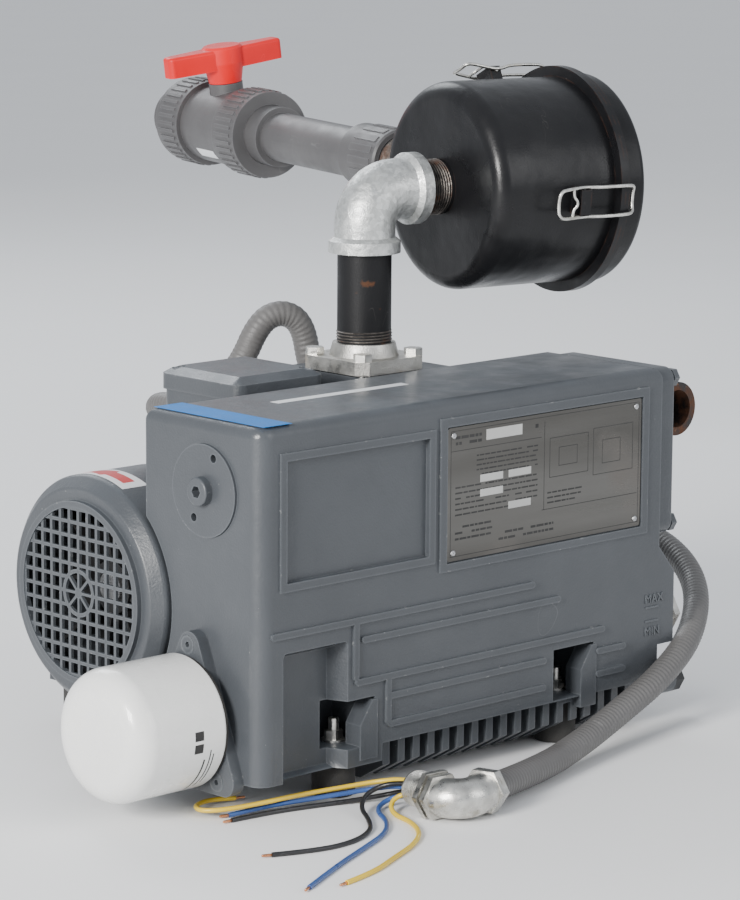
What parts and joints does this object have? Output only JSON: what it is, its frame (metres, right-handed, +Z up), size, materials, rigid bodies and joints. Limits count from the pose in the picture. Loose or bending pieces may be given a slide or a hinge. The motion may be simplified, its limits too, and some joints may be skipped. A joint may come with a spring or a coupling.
{
  "type": "rotary vane vacuum pump",
  "caption": "Oil-sealed rotary vane vacuum pump with finned motor, oil box, exhaust elbow, inlet filter canister, inlet ball valve and loose power conduit on rubber feet.",
  "frame": {"origin": "centre of the pattern of the four rubber feet, on the floor", "axes": "+Z up; +X along the shaft from the fan end to the exhaust end; +Y from the oil box front to the motor side"},
  "size_m": [0.641, 0.8004, 0.5143],
  "materials": {
    "enamel": "satin blue-grey enamel",
    "zinc": "bright zinc",
    "steel": "machined",
    "nameplate_steel": "brushed",
    "flange_steel": "raw, lightly stained",
    "galvanised": "mottled galvanising",
    "black_pipe": "black oxide, rusty threads",
    "canister_black": "gloss black",
    "dark_iron": "dark iron with rust",
    "rail_paint": "satin",
    "filter_white": "gloss white",
    "pvc_grey": "satin",
    "handle_red": "satin",
    "black_plastic": "moulded",
    "rubber": "matte",
    "gasket": "matte",
    "glass": "clear",
    "filter_media": "pleated",
    "windings": "copper",
    "carbon": "graphite",
    "conduit_grey": "fine ridges",
    "wire_black": "smooth",
    "wire_blue": "smooth",
    "wire_yellow": "smooth"
  },
  "bodies": {
    "base": {"canister_body": "canister_black", "canister_lid": "canister_black", "canister_nipple": "black_pipe", "conduit": "conduit_grey", "conduit_box_connector": "zinc", "conduit_end_fitting": "zinc", "exhaust_cover": "enamel", "exhaust_cover_gasket": "gasket", "exhaust_elbow": "dark_iron", "exhaust_filter_element": "filter_media", "fan_cowl": "enamel", "filter_element": "filter_media", "foot_studs": "zinc", "hex_bolts": "zinc", "housing_screws": "enamel", "inlet_flange": "flange_steel", "long_wire_black": "wire_black", "long_wire_blue": "wire_blue", "long_wire_yellow": "wire_yellow", "motor_frame": "enamel", "motor_stator": "windings", "nameplate": "nameplate_steel", "oil_box": "enamel", "oil_drain_plug": "black_plastic", "oil_filler_plug": "enamel", "oil_filter": "filter_white", "oil_filter_head": "enamel", "pipe_elbow": "galvanised", "pump_bracket": "enamel", "pump_cylinder": "enamel", "pump_end_cover": "enamel", "pvc_adapter": "pvc_grey", "pvc_pipe": "pvc_grey", "rear_foot_rail": "rail_paint", "riser_nipple": "black_pipe", "rubber_feet": "rubber", "separator_plug": "enamel", "shaft_bearings": "steel", "short_wire_black": "wire_black", "short_wire_blue": "wire_blue", "short_wire_yellow": "wire_yellow", "sight_glass_lens": "glass", "sight_glass_nut": "zinc", "spout_nipple": "black_pipe", "terminal_box": "enamel", "terminal_box_lid": "enamel", "union_nuts": "pvc_grey", "valve_body": "pvc_grey", "valve_end_sockets": "pvc_grey"},
    "drive": {"pump_rotor": "steel", "rotor_vanes": "carbon", "motor_rotor": "steel", "cooling_fan": "black_plastic", "shaft_coupling": "steel"},
    "inlet_valve": {"inlet_valve_disc": "steel"},
    "ball_valve": {"valve_handle": "handle_red", "valve_ball": "steel"},
    "latch_1": {"latch_1": "zinc"},
    "latch_2": {"latch_2": "zinc"},
    "latch_3": {"latch_3": "zinc"}
  },
  "joints": [
    {"name": "motor_spin", "type": "hinge", "parent": "base", "child": "drive", "pos_m": [-0.0845, 0.0127, 0.1404], "axis": [1, 0, 0], "continuous": true},
    {"name": "inlet_valve_lift", "type": "slide", "parent": "base", "child": "inlet_valve", "axis": [0, 0, 1], "range_m": [0, 0.024]},
    {"name": "valve_turn", "type": "hinge", "parent": "base", "child": "ball_valve", "pos_m": [0.24459, 0.38127, 0.43248], "axis": [-0.1408, 0.007, 0.99], "range_deg": [0, 90]},
    {"name": "latch_1_turn", "type": "hinge", "parent": "base", "child": "latch_1", "pos_m": [0.16676, -0.12013, 0.41316], "axis": [0.0151, 0.0858, -0.9962], "range_deg": [0, 24]},
    {"name": "latch_2_turn", "type": "hinge", "parent": "base", "child": "latch_2", "pos_m": [0.18893, 0.00563, 0.50257], "axis": [-0.1574, -0.8925, 0.4226], "range_deg": [0, 24]},
    {"name": "latch_3_turn", "type": "hinge", "parent": "base", "child": "latch_3", "pos_m": [0.19129, 0.01901, 0.34728], "axis": [0.1422, 0.8067, 0.5736], "range_deg": [0, 24]}
  ]
}
